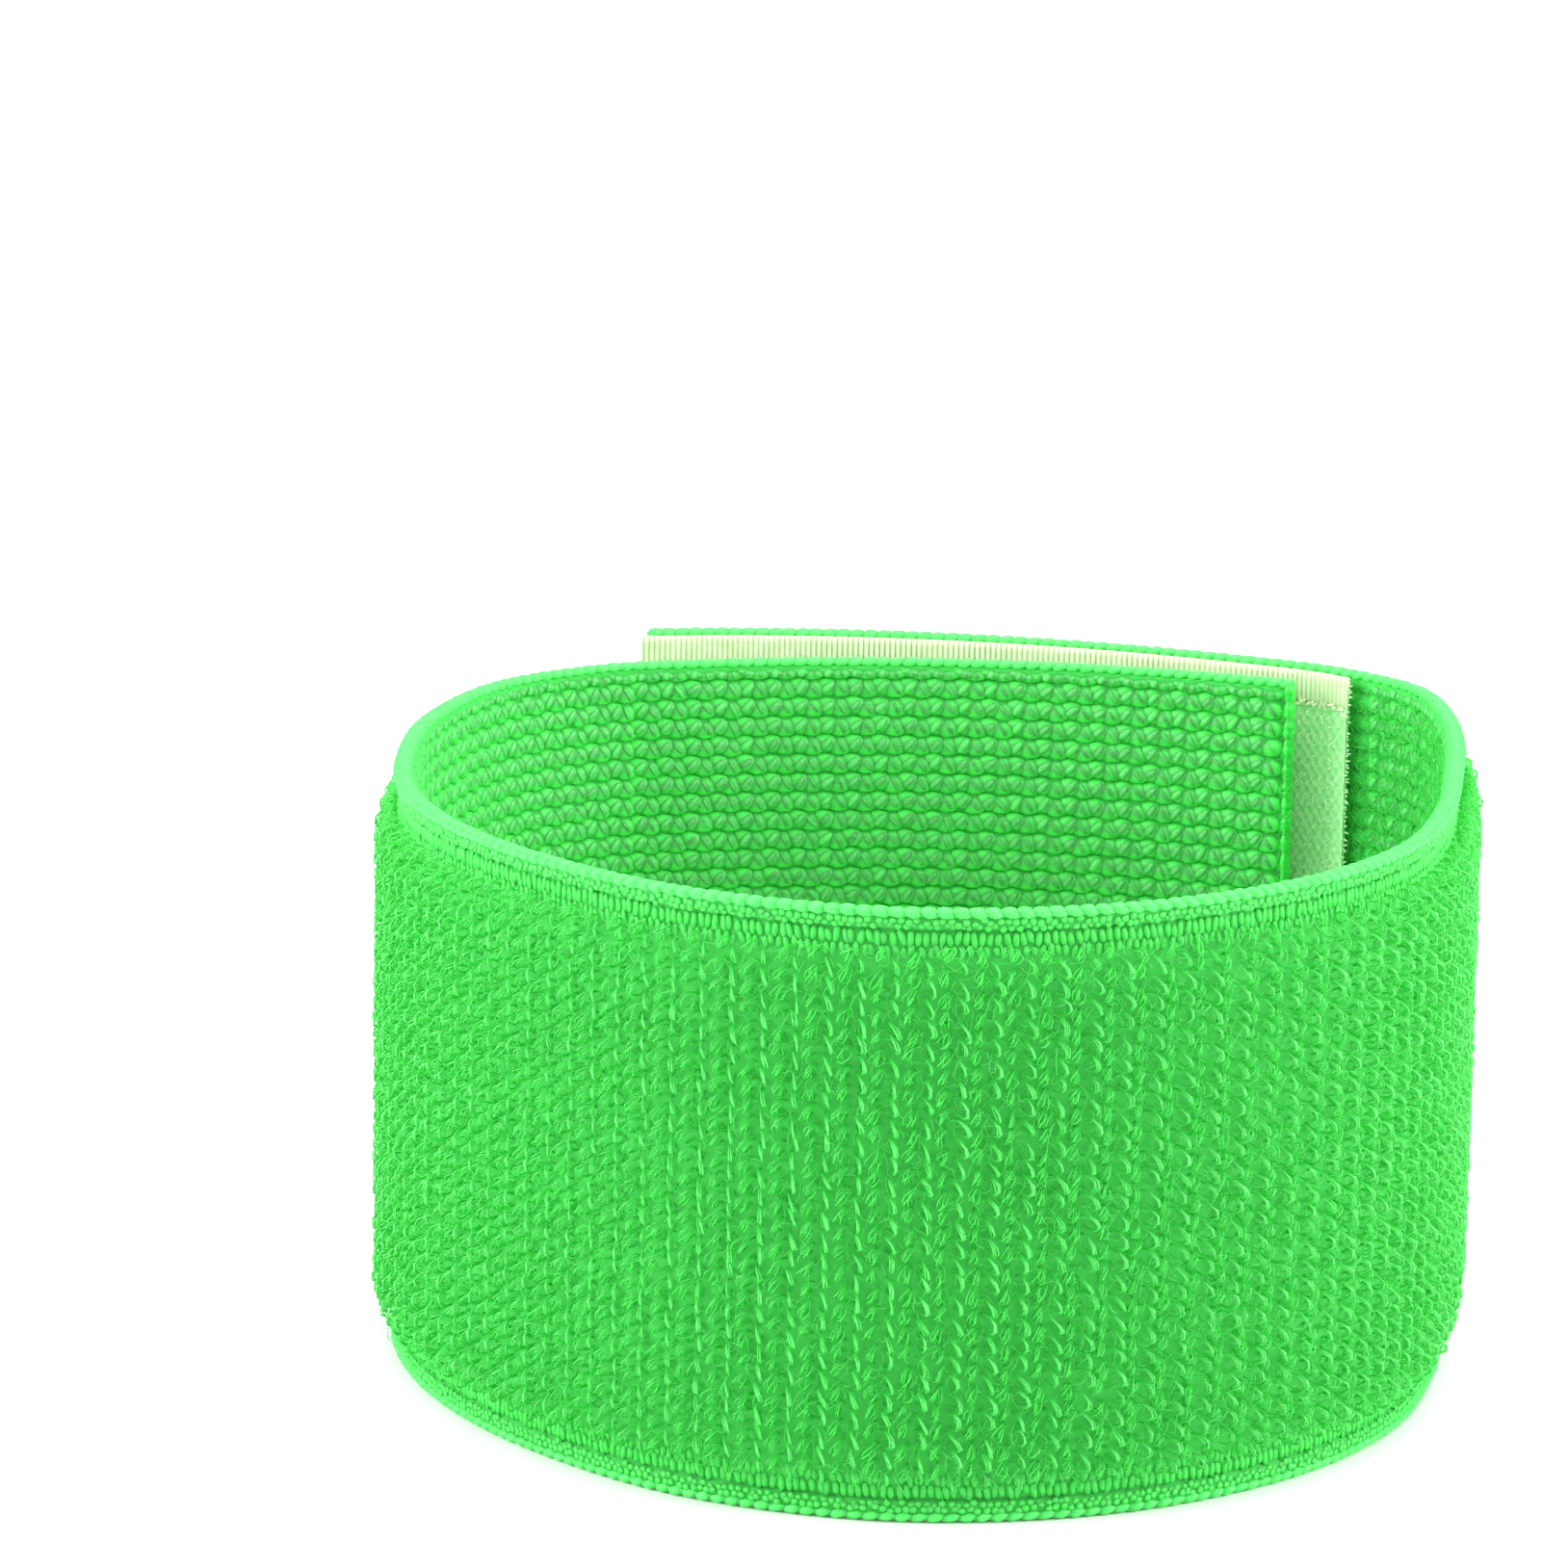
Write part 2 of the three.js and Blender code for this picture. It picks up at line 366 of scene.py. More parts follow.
# %% The socket class
class Sock:
    """An output socket that can be used in sums."""

    def __init__(self, tree, socket):
        self.tree = tree
        self.socket = socket

    def _math(self, operation, *values):
        return add_node(self.tree, "ShaderNodeMath", {"operation": operation},
                        dict(enumerate(values)))

    def __add__(self, other):
        return self._math("ADD", self, other)

    def __radd__(self, other):
        return self._math("ADD", other, self)

    def __sub__(self, other):
        return self._math("SUBTRACT", self, other)

    def __rsub__(self, other):
        return self._math("SUBTRACT", other, self)

    def __mul__(self, other):
        return self._math("MULTIPLY", self, other)

    def __rmul__(self, other):
        return self._math("MULTIPLY", other, self)

    def clamp(self):
        return add_node(self.tree, "ShaderNodeClamp", {}, {0: self})


def add_node(tree, kind, settings, inputs, output=0):
    """One node: its settings are set first, then its sockets get values or links."""
    node = tree.nodes.new(kind)
    for name, value in settings.items():
        setattr(node, name, value)
    for name, value in inputs.items():
        if isinstance(value, Sock):
            tree.links.new(value.socket, node.inputs[name])
        else:
            node.inputs[name].default_value = value
    return Sock(tree, node.outputs[output])


def noise(tree, place_in, scale, detail=2.0, rough=0.5):
    """Fractal noise, 0 to 1, at so many waves per metre."""
    return add_node(tree, "ShaderNodeTexNoise", {},
                    {"Vector": place_in, "Scale": scale, "Detail": detail, "Roughness": rough})


def blend_colours(tree, factor, first, second):
    """first where factor is 0 and second where it is 1."""
    return add_node(tree, "ShaderNodeMix", {"data_type": "RGBA"},
                    {0: factor, 6: first, 7: second}, output=2)


def rgba(red, green, blue):
    """A linear colour from the 0 to 255 values a colour card is read in."""
    def linear(value):
        value /= 255
        return value / 12.92 if value <= 0.04045 else ((value + 0.055) / 1.055) ** 2.4
    return (linear(red), linear(green), linear(blue), 1)


def cloth_material(name, **constants):
    """A Principled material with its constants set, its tree and its object coordinates."""
    material = bpy.data.materials.new(name)
    material.use_nodes = True
    tree = material.node_tree
    shader = tree.nodes["Principled BSDF"]
    for socket, value in constants.items():
        shader.inputs[socket.replace("_", " ")].default_value = value
    coordinates = add_node(tree, "ShaderNodeTexCoord", {}, {}, output=3)
    return material, tree, shader, coordinates


def feed(tree, shader, **sources):
    """Links sources to the shader's sockets."""
    for socket, value in sources.items():
        tree.links.new(value.socket, shader.inputs[socket.replace("_", " ")])


def bumped(tree, height, strength, distance):
    """A normal from a height in the range 0 to 1."""
    return add_node(tree, "ShaderNodeBump", {},
                    {"Height": height, "Strength": strength, "Distance": distance})


# %% [markdown]
# ## Finishes
#
# All the green yarn is one dye, yet the pile, the ribs and the edge cord look different: the pile is
# brushed and drinks the light, the ribs are tight and a little satin, and the edge cord's colours are
# paler, with painted light on its beads. Every yarn is coloured with painted shade in the depth of its
# relief, painted light on top and painted glints on its tips. Nylon glows where light passes through
# it. On a loose filament a little sheen and a share of translucent light give that glow cheaply. The
# knitted faces are thicker, and light wanders about a millimetre inside them and comes out greener, so
# these three finishes get true scattering under their surface.

# %% Green yarns
DYE = rgba(66, 214, 82)
# DYE_LIT is the dye as it looks in full light: the sheen's tint, and a painted glint colour.
DYE_LIT = rgba(92, 238, 104)
SCATTER_DEPTH = 1.0 * MM


def yarn_material(name, shade_colour, light, glint_colour, wave, sheen, roughness, bump, through=0.0, shine=0.5):
    """Dyed yarn with painted shade in a relief's depth, painted light on top and painted glints on the
    tips, in uneven patches.

    through is the share of light that a filament lets through to its far side."""
    material, tree, shader, at = cloth_material(
        name, Roughness=roughness, Sheen_Weight=sheen, Sheen_Roughness=0.4,
        Sheen_Tint=DYE_LIT, Specular_IOR_Level=shine)
    patch = noise(tree, at, wave, detail=3.0)
    fibre = noise(tree, at, 5200, detail=2.0, rough=0.7)
    painted_light = add_node(tree, "ShaderNodeAttribute", {"attribute_name": LIGHT_ATTRIBUTE}, {}, output=2)
    # Painted tone: painted shade low in a relief and painted light high up; where it is highest,
    # painted glints in the glint colour.
    painted_tone = (painted_light + patch * 0.8 - 0.4 + fibre * 0.3 - 0.15).clamp()
    glint_mask = ((painted_light + patch * 0.4 - 0.2 - 0.8) * 4.0).clamp()
    colour = blend_colours(tree, glint_mask, blend_colours(tree, painted_tone, shade_colour, light), glint_colour)
    feed(tree, shader, Base_Color=colour, Roughness=(roughness + (fibre - 0.5) * 0.2).clamp(),
         Normal=bumped(tree, fibre, bump, 0.06 * MM))
    if through:
        glow = add_node(tree, "ShaderNodeBsdfTranslucent", {}, {"Color": light})
        mixed = add_node(tree, "ShaderNodeMixShader", {},
                         {0: through, 1: Sock(tree, shader.outputs[0]), 2: glow})
        tree.links.new(mixed.socket, tree.nodes["Material Output"].inputs["Surface"])
    return material


# Each yarn's first three colours: painted shade for the depth of its relief, painted light for its
# top, and a painted glint for its tips.
pile_yarn = yarn_material("pile_yarn", rgba(80, 230, 96), rgba(88, 238, 104), rgba(124, 253, 140),
                          900, 0.5, 0.3, 0.1, 0.35, 1.0)
ground_knit = yarn_material("ground_knit", rgba(46, 170, 62), rgba(70, 218, 88), DYE,
                            1500, 0.2, 0.8, 0.4)
rib_yarn = yarn_material("rib_yarn", rgba(54, 196, 70), rgba(78, 236, 92), rgba(108, 250, 120),
                         1400, 0.35, 0.5, 0.8)
edge_yarn = yarn_material("edge_yarn", rgba(44, 184, 70), rgba(88, 236, 108), rgba(116, 246, 136),
                          1200, 0.4, 0.5, 0.6)
sealed_yarn = yarn_material("sealed_yarn", rgba(40, 186, 60), rgba(74, 236, 90), DYE_LIT,
                            900, 0.2, 0.35, 0.6)
for knit in (ground_knit, rib_yarn, edge_yarn):
    shader = knit.node_tree.nodes["Principled BSDF"]
    shader.inputs["Subsurface Weight"].default_value = 0.7
    shader.inputs["Subsurface Radius"].default_value = (0.3, 1.0, 0.4)
    shader.inputs["Subsurface Scale"].default_value = SCATTER_DEPTH

# %% [markdown]
# Hook tape is undyed: its woven edge is cream nylon. The field behind the hooks is coloured green, a
# painted reflection of the green strap it lies on, with small tan flecks where the tape was coated on
# the back.

# %% Cream tape
CREAM = rgba(236, 244, 208)
# CREAM_SHADE and FIELD_SHADE are painted shade, for the dips between the tape's threads.
CREAM_SHADE = rgba(186, 212, 150)
# FIELD and FIELD_SHADE are tinted green with painted reflected light from the strap.
FIELD = rgba(214, 255, 208)
FIELD_SHADE = rgba(172, 247, 168)
FLECK = rgba(186, 190, 110)


def tape_material(name, light, shade, flecks):
    """Undyed nylon tape with painted shade between its threads, and flecks in the coating."""
    material, tree, shader, at = cloth_material(
        name, Roughness=0.55, Sheen_Weight=0.2, Sheen_Roughness=0.5, Specular_IOR_Level=0.4)
    patch = noise(tree, at, 1100, detail=3.0)
    fibre = noise(tree, at, 6000, detail=2.0, rough=0.7)
    painted_light = add_node(tree, "ShaderNodeAttribute", {"attribute_name": LIGHT_ATTRIBUTE}, {}, output=2)
    colour = blend_colours(tree, (painted_light * 1.3 + patch - 0.7).clamp(), shade, light)
    spots = noise(tree, at, 480, detail=4.0, rough=0.6)
    spotted = ((spots - 0.66) * 12.0).clamp() * flecks
    feed(tree, shader, Base_Color=blend_colours(tree, spotted, colour, FLECK),
         Roughness=(0.4 + fibre * 0.3).clamp(),
         Normal=bumped(tree, fibre, 0.4, 0.05 * MM))
    return material


tape_edge = tape_material("tape_edge", CREAM, CREAM_SHADE, 0.0)
tape_field = tape_material("tape_field", FIELD, FIELD_SHADE, 0.7)
hook_nylon = tape_material("hook_nylon", rgba(232, 254, 216), rgba(200, 240, 190), 0.4)
film_glue = tape_material("film_glue", rgba(240, 240, 226), rgba(222, 226, 204), 0.0)
elastic_yarn = tape_material("elastic_yarn", rgba(226, 244, 222), rgba(190, 224, 188), 0.0)
print("materials:", len(bpy.data.materials))

# %% [markdown]
# ## The knit's grid
#
# Everything in this strap is made on one machine, needle by needle, so everything sits on one
# grid. A course is one pass across the strap, 1.26 mm along it; a wale is one needle, 1.78 mm
# across it. The beads of the edge, the stitches of the ribs and the loops of the pile all
# repeat at the course.

# %% Grid
STRAP_WIDTH = 50 * MM
COURSES = round(STRAP_LENGTH / (1.262 * MM))
COURSE = STRAP_LENGTH / COURSES
FACE_MARGIN = 1.9 * MM       # from the strap's edge to the knitted faces
PILE_MARGIN = 3.4 * MM       # and to the first loops
WALES = 26
WALE = (STRAP_WIDTH - 2 * FACE_MARGIN) / WALES
PILE_ROWS = 27
PILE_PITCH = (STRAP_WIDTH - 2 * PILE_MARGIN) / PILE_ROWS
OUTER_FACE = 0.55 * MM       # outset of the ground that the loops grow from
print(f"{COURSES} courses of {COURSE / MM:.2f} mm, {WALES} wales of {WALE / MM:.2f} mm")


def courses_in(start, end, step=COURSE, offset=0.5):
    """Distances along the strap of the courses whose middle lies in this span."""
    count = round(STRAP_LENGTH / step)
    middles = (np.arange(count) + offset) * STRAP_LENGTH / count
    return middles[(middles >= start) & (middles < end)]


# %% [markdown]
# ## The strap's body
#
# Under the pile and the ribs lies the body of the strap: a flat tube of fabric, its inner side
# moulded into ribs by the elastic threads. It is a closed sweep of one outline: up the inner
# side over each rib, round the top, and down the outer side. A subdivided box with a bump would
# look flat from the side, and the ribs' wavy outline shows at the cut end.

# %% Body of the strap
END_BEAD = 0.7 * MM          # the sealed bead takes the place of the last bit of strap
VALLEY = -0.28 * MM          # outset between two ribs
RIDGE = -0.70 * MM           # outset on a rib
OUTER_TONE = 0.2             # painted light of the ground under the pile: low, so mostly painted shade
OVERLAP = 0.08 * MM          # neighbouring pieces of strap run into each other by this much
EDGE_STEPS = ((0.7, 0.50), (1.6, 0.40), (1.75, 0.0), (1.95, 0.0), (2.05, 0.14), (3.1, 0.16),
              (4.1, 0.40), (6.0, 0.55))


def span_ends(span, first=0.0, last=0.0):
    """Where a span starts and ends, given how far it stays from the strap's cut ends."""
    _, start, end = SPANS[span]
    return max(start - OVERLAP, first), min(end + OVERLAP, STRAP_LENGTH - last)


def body_outline():
    """The outline's corners: outset and height, once round."""
    low = EDGE_STEPS[0][0] * MM
    up = np.linspace(low, STRAP_WIDTH - low, WALES * 8)
    ribbed = np.abs(np.sin((up - FACE_MARGIN) / WALE * math.pi)) ** 0.6
    inner = VALLEY + (RIDGE - VALLEY) * ribbed
    steps = np.array(EDGE_STEPS) * MM
    down = np.concatenate([STRAP_WIDTH - steps[:, 0], steps[::-1, 0]])
    outer = np.concatenate([steps[:, 1], steps[::-1, 1]])
    # Painted shade in the valleys between ribs and painted light on the ribs; the ground under the
    # pile gets mostly painted shade.
    painted_light = np.concatenate([0.6 * ribbed ** 2, np.full_like(down, OUTER_TONE)])
    return np.concatenate([inner, outer]), np.concatenate([up, down]), painted_light


def capped(points):
    """Closes a tube of rings by drawing its first and last ring together in the middle."""
    first, last = points[:1], points[-1:]
    pinch = [first.mean(axis=1, keepdims=True) * 0.999 + first * 0.001,
             last.mean(axis=1, keepdims=True) * 0.999 + last * 0.001]
    return np.concatenate([pinch[0], points, pinch[1]])


def swept_piece(name, points, material, painted_light):
    """A closed tube of rings of points as a piece."""
    painted_light = np.broadcast_to(painted_light, points.shape[:2])
    painted_light = np.concatenate([painted_light[:1], painted_light, painted_light[-1:]])
    points = capped(points)
    rows, columns = points.shape[:2]
    shape = points.reshape(-1, 3), grid_faces(rows, columns, True), grid_uvs(rows, columns), painted_light
    return new_piece(name, shape, material, end_faces=columns)


def make_body(span):
    """The knitted core of one stretch of the strap, which carries its ribs and pile."""
    start, end = span_ends(span, END_BEAD, END_BEAD)
    s = evenly(start, end, BODY_STEP)
    outset, height, painted_light = body_outline()
    name = SPANS[span][0]
    body = swept_piece(f"strap_body_{name}", place(s[:, None], outset[None], height[None]),
                       ground_knit, painted_light[None])
    fasten(body, span, [f"ribbed_face_{name}"])
    return body


bodies = [make_body(span) for span in range(len(SPANS))]

# %% [markdown]
# ## Stitches
#
# A knitted stitch seen from outside is a short lobe of yarn that dives under its neighbours at
# both ends. One stitch is a low dome, stretched along its own direction. The domes are made
# together: unit points on a half ball are scaled, turned and set on the strap by arrays.

# %% Lobes of yarn
def lobes(s, height, outset, length, width, rise, slant, around=8, up=3, painted_tones=(0.0, 1.0)):
    """Domes on the strap's face: rise is negative where they stand inwards, and tones says how much
    painted light their foot and their top get."""
    s, height, outset, length, width, rise, slant = (
        np.ravel(a)[:, None] for a in np.broadcast_arrays(
            s, height, outset, length, width, rise, slant))
    turn = np.linspace(0, 2 * math.pi, around, endpoint=False)
    climb = np.linspace(-0.25, math.pi / 2 - 0.12, up + 1)
    a = (np.cos(climb)[:, None] * np.cos(turn)).ravel()[None] * length / 2
    b = (np.cos(climb)[:, None] * np.sin(turn)).ravel()[None] * width / 2
    c = np.repeat(np.sin(climb), around)[None] * rise
    cos, sin = np.cos(slant), np.sin(slant)
    points = place(s + a * cos - b * sin, outset + c, height + a * sin + b * cos)
    count, each = points.shape[:2]
    ring = np.arange(around) + up * around
    half = around // 2
    top = [[ring[i], ring[i + 1], ring[around - 2 - i], ring[around - 1 - i]] for i in range(half - 1)]
    one = np.vstack([grid_faces(up + 1, around, True), top])
    faces = (one[None] + (np.arange(count) * each)[:, None, None]).reshape(-1, 4)
    # Painted shade at each dome's foot and painted light at its top, as the tones give.
    painted_tone = painted_tones[0] + (painted_tones[1] - painted_tones[0]) * np.clip(np.sin(climb), 0, 1)
    painted_light = np.broadcast_to(np.repeat(painted_tone, around), (count, each))
    cells = math.ceil(math.sqrt(count))
    index = np.arange(count)[:, None]
    flat = np.stack([np.cos(turn), np.sin(turn)], -1)
    spread = (np.linspace(0.45, 0.1, up + 1)[:, None, None] * flat[None]).reshape(-1, 2) + 0.5
    u = (index % cells + spread[None, :, 0]) / cells
    v = (index // cells + spread[None, :, 1]) / cells
    return points.reshape(-1, 3), faces, np.stack([u, v], -1).reshape(-1, 2), painted_light.ravel()


def jitter(shape, amount):
    """Random offsets about zero, most of them within the amount."""
    return chance.normal(0, amount, shape)


# %% [markdown]
# The ribs show two kinds of lobe in turn, a full one that leans one way and a smaller one that leans
# the other way. The strap is a stretch fabric at rest, so they are crowded and a little uneven. Both
# sit on a broad bulge, one to a course. The bulges shift up and down in turn, and that makes the dark
# line between two ribs wavy: the line is real shadow under the bulges, made deeper with painted shade
# at their feet and in the valley. Ribs under the hook tape are only moulded into the body, because
# stitches there would never be seen.

# %% Stitches of the ribs
RIBS_TO = hinge_at[0] - 1.0 * MM
RIB_START = 0.8 * MM
EDGE_RIB = 1.0 * MM          # the narrow rib between the knitted face and the edge cord
FOOT_FACE = VALLEY - 0.12 * MM     # outset of the bulges' feet
BULGE_RISE = 0.50 * MM
BULGE_SHIFT = 0.07           # how far bulges shift up and down in turn, in ribs
BULGE_LEANS = 0.22, -0.12
# The two kinds of lobe: shift up the rib, length, width and rise in mm, lean, and the painted light at
# foot and top.
LOBES = (
    (0.12, 1.50, 0.74, 0.28, -0.80, (0.55, 1.0)),
    (-0.08, 1.40, 0.50, 0.22, 0.95, (0.5, 0.9)),
)


def rib_rows():
    """The height of each rib's middle, and how tall the rib is."""
    whole = FACE_MARGIN + (np.arange(WALES) + 0.5) * WALE
    first, last = FACE_MARGIN - EDGE_RIB / 2, STRAP_WIDTH - FACE_MARGIN + EDGE_RIB / 2
    tall = np.full(WALES + 2, WALE)
    tall[[0, -1]] = EDGE_RIB
    return np.concatenate([[first], whole, [last]]), tall


def rib_stitches(start, end):
    """The bulges and both kinds of lobe over one span of the inner face."""
    s = courses_in(max(start, RIB_START), end)
    number = np.round(s / COURSE - 0.5).astype(int)
    rows, tall = rib_rows()
    s, rows = np.meshgrid(s, rows, indexing="ij")
    shape = s.shape
    full = np.broadcast_to((number % 2 == 0)[:, None], shape)
    s = s + jitter(shape, 0.05 * MM)
    share = tall / WALE
    rows = rows + jitter(shape, 0.04 * MM) * share
    bulges = lobes(
        s, rows + np.where(full, BULGE_SHIFT, -BULGE_SHIFT) * tall, FOOT_FACE, COURSE * 2, tall * 0.98,
        -BULGE_RISE * (1 + jitter(shape, 0.05)), np.where(full, *BULGE_LEANS), 10, 3,
        painted_tones=(0.5, 0.8))

    def strands(which):
        up_by, length, width, rise, slant, painted_tones = LOBES[which]
        pick = np.broadcast_to((number % 2 == which)[:, None], shape)
        uneven = 1 + jitter((pick.sum(),), 0.06)
        size = np.broadcast_to(share, shape)[pick]
        return lobes(s[pick], rows[pick] + up_by * MM * size, RIDGE - 0.02 * MM,
                     length * MM * size * uneven, width * MM * uneven, -rise * MM * uneven,
                     slant + jitter(uneven.shape, 0.1), 10, painted_tones=painted_tones)

    return joined([bulges, strands(0), strands(1)])


RIB_PARTS = 5
for part, (first, last) in in_parts(0, RIBS_TO, RIB_PARTS):
    fasten(new_piece(f"rib_stitches_{part}", rib_stitches(first, last), rib_yarn), 0)

# %% [markdown]
# Inside every rib runs a covered elastic thread, laid in straight while the knit is made round
# it. It is what lets the band stretch over a hand. None of it shows until the knit is cut.

# %% Elastic threads
ELASTIC_RADIUS = 0.14 * MM


def elastic_threads(span):
    """One thread inside each rib, over one stretch of strap."""
    start, end = span_ends(span, END_BEAD, END_BEAD)
    s = evenly(start, end, 2 * BODY_STEP)[None]
    rows, _ = rib_rows()
    paths = place(s, FOOT_FACE, rows[:, None])
    upright = np.broadcast_to((0.0, 0.0, 1.0), (len(rows), 3))
    name = SPANS[span][0]
    threads = new_piece(f"elastic_threads_{name}", tubes(paths, upright, ELASTIC_RADIUS, 4, 0.5),
                        elastic_yarn)
    fasten(threads, span, [f"elastic_core_{name}"])


for span in range(len(SPANS)):
    elastic_threads(span)

# %% [markdown]
# ## The edges
#
# Along both edges the machine wraps one yarn round the strap at every course, which makes a
# row of round beads, each of a few turns. Below them the fabric is still as thick as the
# beads, and pebbled. Then comes a groove, and two rows of short upright stitches before the
# pile begins. The bead row is a tube whose radius swells at each course.

# %% Beaded edge cords
BEAD_HALF_HEIGHT = 0.46 * MM
BEAD_HALF_DEPTH = 0.8 * MM
TURNS = 4                    # turns of yarn to a bead
BEAD_RINGS = 12              # rings of the mesh to a bead
BEAD_AROUND = 14


def edge_cord(span, upper):
    """The row of beads along one edge, over one stretch of strap."""
    start, end = span_ends(span, 0.3 * MM, 0.3 * MM)
    s = evenly(start, end, COURSE / BEAD_RINGS)[:, None]
    turn = (np.arange(BEAD_AROUND) * 2 * math.pi / BEAD_AROUND)[None]
    side = 1 if upper else -1
    lean = 0.14 * np.sin(turn) * side + 0.06 * np.cos(turn)
    bead = np.abs(np.sin(math.pi * (s / COURSE + lean))) ** 0.6
    wrap = 0.045 * np.cos(2 * math.pi * TURNS * (s / COURSE + 2 * lean))
    uneven = 0.03 * np.sin(s / MM * 2.3) + 0.02 * np.sin(s / MM * 5.9 + 1)
    swell = 0.66 + 0.36 * bead + wrap + uneven
    middle = STRAP_WIDTH - BEAD_HALF_HEIGHT if upper else BEAD_HALF_HEIGHT
    outset = BEAD_HALF_DEPTH * swell * np.cos(turn) * side
    height = middle + BEAD_HALF_HEIGHT * (swell * np.sin(turn) - 0.1 * side * (bead < 0.3))
    which = "upper" if upper else "lower"
    name = SPANS[span][0]
    # The tone is painted light on each bead's top and painted shade between its turns of yarn.
    cord = swept_piece(f"{which}_edge_beads_{name}", place(s, outset, height), edge_yarn,
                       0.75 * bead + 5 * wrap)
    fasten(cord, span, [f"{which}_edge_cord_{name}"])


# Rows of edge stitches, in mm: depth below the edge, height, width, rise, outset of the ground and
# unevenness; then how many there are to a course, and the painted light at foot and top.
EDGE_ROWS = (
    (1.08, 0.60, 0.66, 0.14, 0.50, 0.09, 2, (-0.1, 0.4)),
    (1.45, 0.60, 0.60, 0.14, 0.40, 0.09, 2, (-0.1, 0.3)),
    (2.50, 1.40, 0.62, 0.20, 0.18, 0.07, 2, (-0.3, 0.1)),
    (3.60, 1.30, 0.58, 0.18, 0.26, 0.10, 2, (-0.3, 0.1)),
)


def edge_stitches(span, upper):
    """The pebbled rows and the upright stitches between the edge and the pile."""
    name, start, end = SPANS[span]
    rows = []
    for i, (depth, tall, wide, rise, outset, uneven, to_course, painted_tones) in enumerate(EDGE_ROWS):
        s = courses_in(max(start, 1.0 * MM), min(end, STRAP_LENGTH - 1.0 * MM), COURSE / to_course,
                       0.5 + 0.5 * (i % 2))
        height = STRAP_WIDTH - depth * MM if upper else depth * MM
        rows.append(lobes(s + jitter(s.shape, uneven * MM), height + jitter(s.shape, uneven * MM),
                          outset * MM, tall * MM * (1 + jitter(s.shape, 0.1)),
                          wide * MM, rise * MM * (1 + jitter(s.shape, 0.12)),
                          math.pi / 2 + 0.1 + jitter(s.shape, 2 * uneven), 8, painted_tones=painted_tones))
    which = "upper" if upper else "lower"
    piece = new_piece(f"{which}_edge_stitches_{name}", joined(rows), rib_yarn)
    fasten(piece, span)


for span in range(len(SPANS)):
    for upper in (True, False):
        edge_cord(span, upper)
        edge_stitches(span, upper)

# %% [markdown]
# ## The pile
#
# Loop pile is what the hooks catch. Each loop stands out about 2 mm, in a plane across the strap, and
# is a few filaments twisted together. Seen end on, the loops of one course lean like strokes to the
# left; those of the next course are slack, fluffed out and lean the other way. Seen from the side they
# open into rings. Blender's hair could do this too; here the loops are real tubes.

# %% Loops
FILAMENTS = 5
LOOP_STEPS = 8
LOOP_HALF = 0.73 * MM        # half the height of a loop
LOOP_REACH = 1.04 * MM       # half of how far it stands out
FILAMENT = 0.044 * MM
NAP = math.tan(math.radians(20))           # how far tight loops lean along the strap
SLACK_NAP = -math.tan(math.radians(12))    # and slack ones, the other way
TIGHT_SLANT, SLACK_SLANT = -0.24, 0.30     # lean of a loop's plane from upright, in radians
TIGHT_SHIFT, SLACK_SHIFT = -0.2, 0.3       # shift up the strap, in pitches
SLACK_SIZE = 0.82            # a slack loop beside a tight one
SLACK_SPREAD = 2.8           # how much looser its filaments lie
EDGE_SIZE = 0.78             # loops stay short by the edges,
EDGE_LOOPS = 4.6 * MM        # in a strip this wide
DROOP = -0.10                # how far a loop sinks as it stands out
PRESSED = 0.72               # what is left of its reach under the flap
FOOT = math.radians(152)     # how far round each way a loop goes before it meets the ground
TWIST = 3.0                  # radians that a yarn turns from foot to foot
PRESS_START, PRESS_END = 62 * MM, 72 * MM  # the flap presses the pile down up to here


def each(values):
    """One value per loop, shaped to go with (loops, filaments, steps)."""
    return np.asarray(values)[:, None, None]


